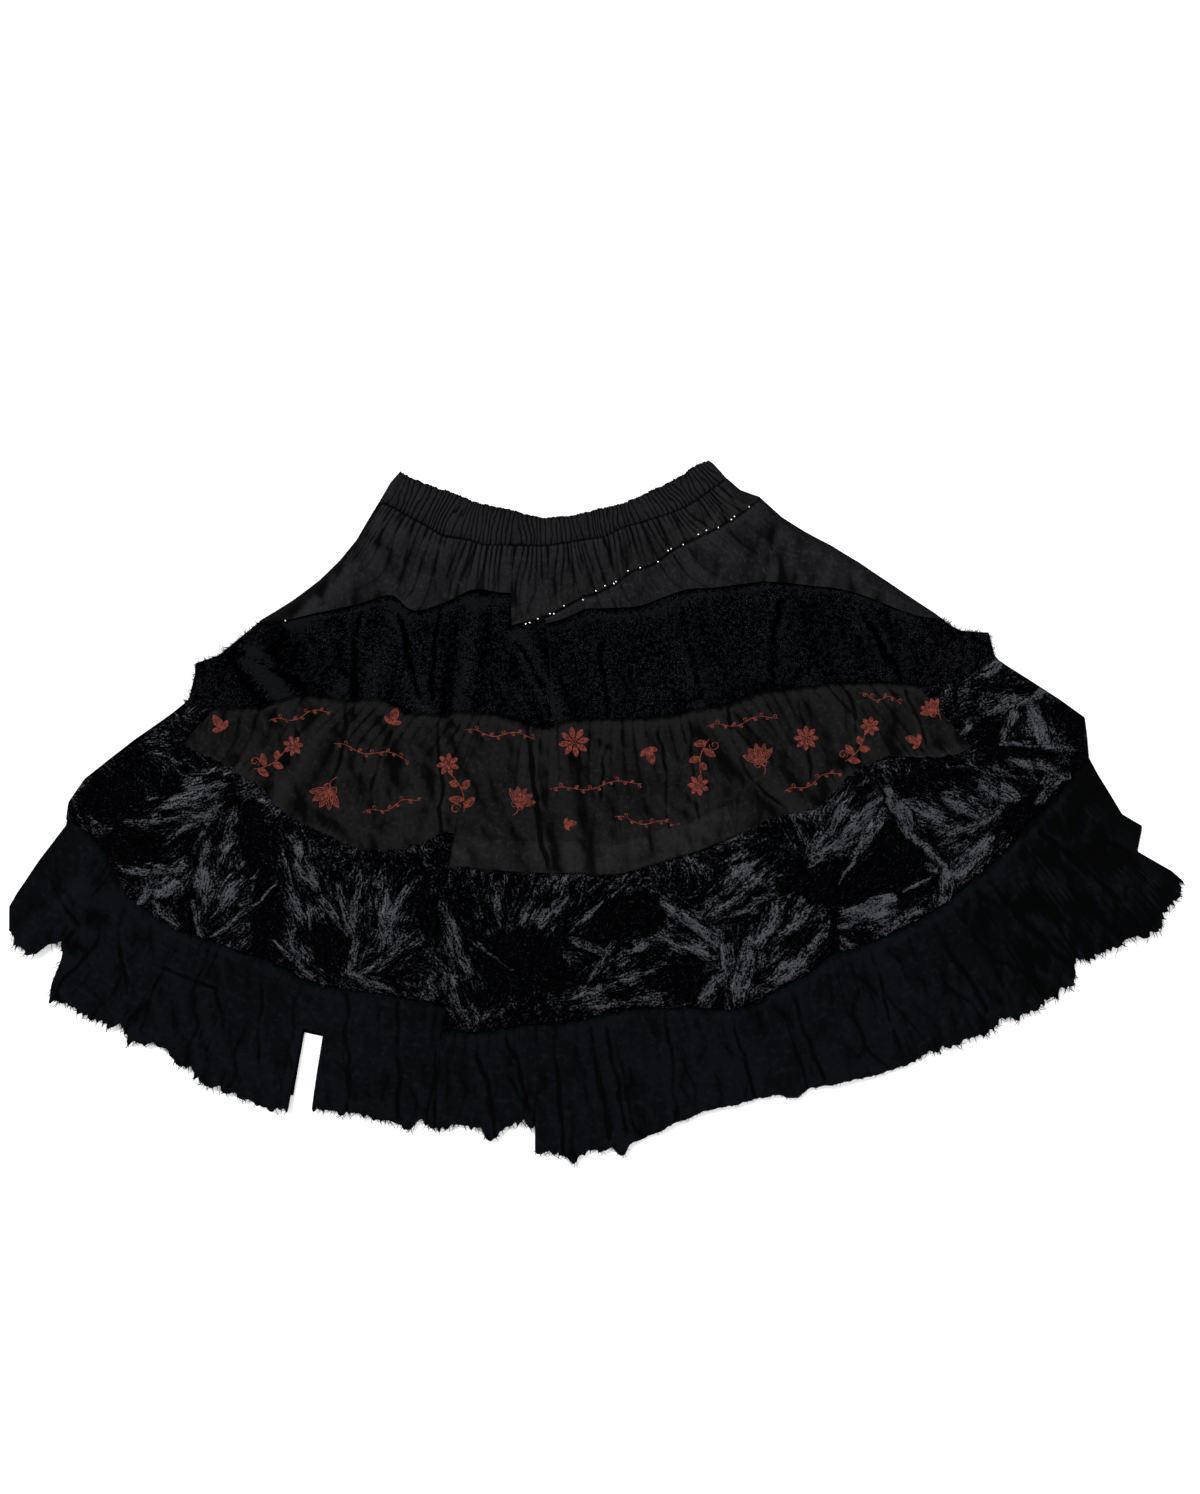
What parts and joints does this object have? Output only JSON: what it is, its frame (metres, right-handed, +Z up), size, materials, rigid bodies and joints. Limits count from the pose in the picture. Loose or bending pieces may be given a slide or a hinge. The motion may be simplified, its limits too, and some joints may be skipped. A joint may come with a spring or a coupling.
{
  "type": "tiered patchwork skirt",
  "caption": "Long flared skirt of gathered patchwork tiers with an elastic waist, laid flat, front panels lying on the back panels.",
  "frame": {"origin": "centre of the underside's bounding box, on the surface that the skirt lies on", "axes": "+X across the skirt, to the right as seen from above with the waist away from the viewer; +Y towards the waist; +Z up, out of the front"},
  "size_m": [1.2342, 0.7346, 0.0146],
  "materials": {
    "cotton": "matte charcoal cotton, fine weave",
    "hem_tape": "matte charcoal cotton, stitched down",
    "fleece": "black looped fleece",
    "printed_cotton": "matte charcoal cotton with a rust red print",
    "crushed_satin": "black crushed satin, glossy on the creases",
    "ruffle_cotton": "matte blue-black crinkled cotton, raw hem"
  },
  "bodies": {
    "root": {"waistband_back": "cotton", "yoke_back": "cotton", "fleece_back": "fleece", "print_back": "printed_cotton", "satin_back": "crushed_satin", "ruffle_back": "ruffle_cotton", "waistband_front": "cotton", "yoke_lower_front": "cotton", "yoke_wrap_front": "cotton", "yoke_wrap_tape": "hem_tape", "fleece_front": "fleece", "print_front": "printed_cotton", "print_tape_front": "hem_tape", "satin_front": "crushed_satin", "ruffle_front": "ruffle_cotton"}
  },
  "joints": []
}
